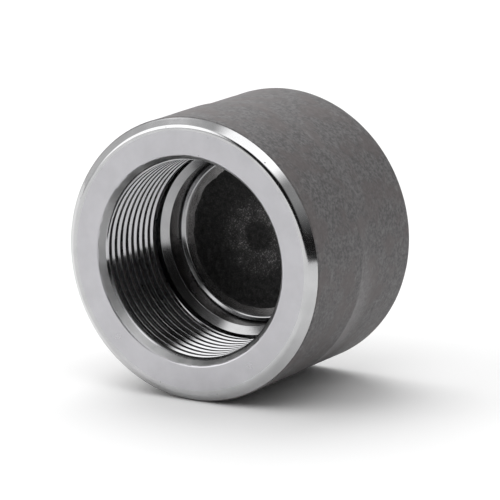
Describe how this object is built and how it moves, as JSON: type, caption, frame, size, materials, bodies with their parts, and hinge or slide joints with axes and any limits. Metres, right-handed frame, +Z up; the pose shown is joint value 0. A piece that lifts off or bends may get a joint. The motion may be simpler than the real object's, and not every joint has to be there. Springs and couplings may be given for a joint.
{
  "type": "pipe cap",
  "caption": "Forged steel pipe cap: a thick round barrel, closed at one end, with a tapered female pipe thread and a chamfered mouth.",
  "frame": {"origin": "bottom centre of the cap's box as it lies on its barrel, so the thread axis runs 32 mm above the origin", "axes": "+Y along the thread axis from the mouth to the closed end; +Z up from the surface that the barrel lies on"},
  "size_m": [0.064, 0.044, 0.064],
  "materials": {
    "forged_steel": "shot-blasted forged steel with turned mouth, thread and chamber"
  },
  "bodies": {
    "root": {"cap_body": "forged_steel"}
  },
  "joints": []
}
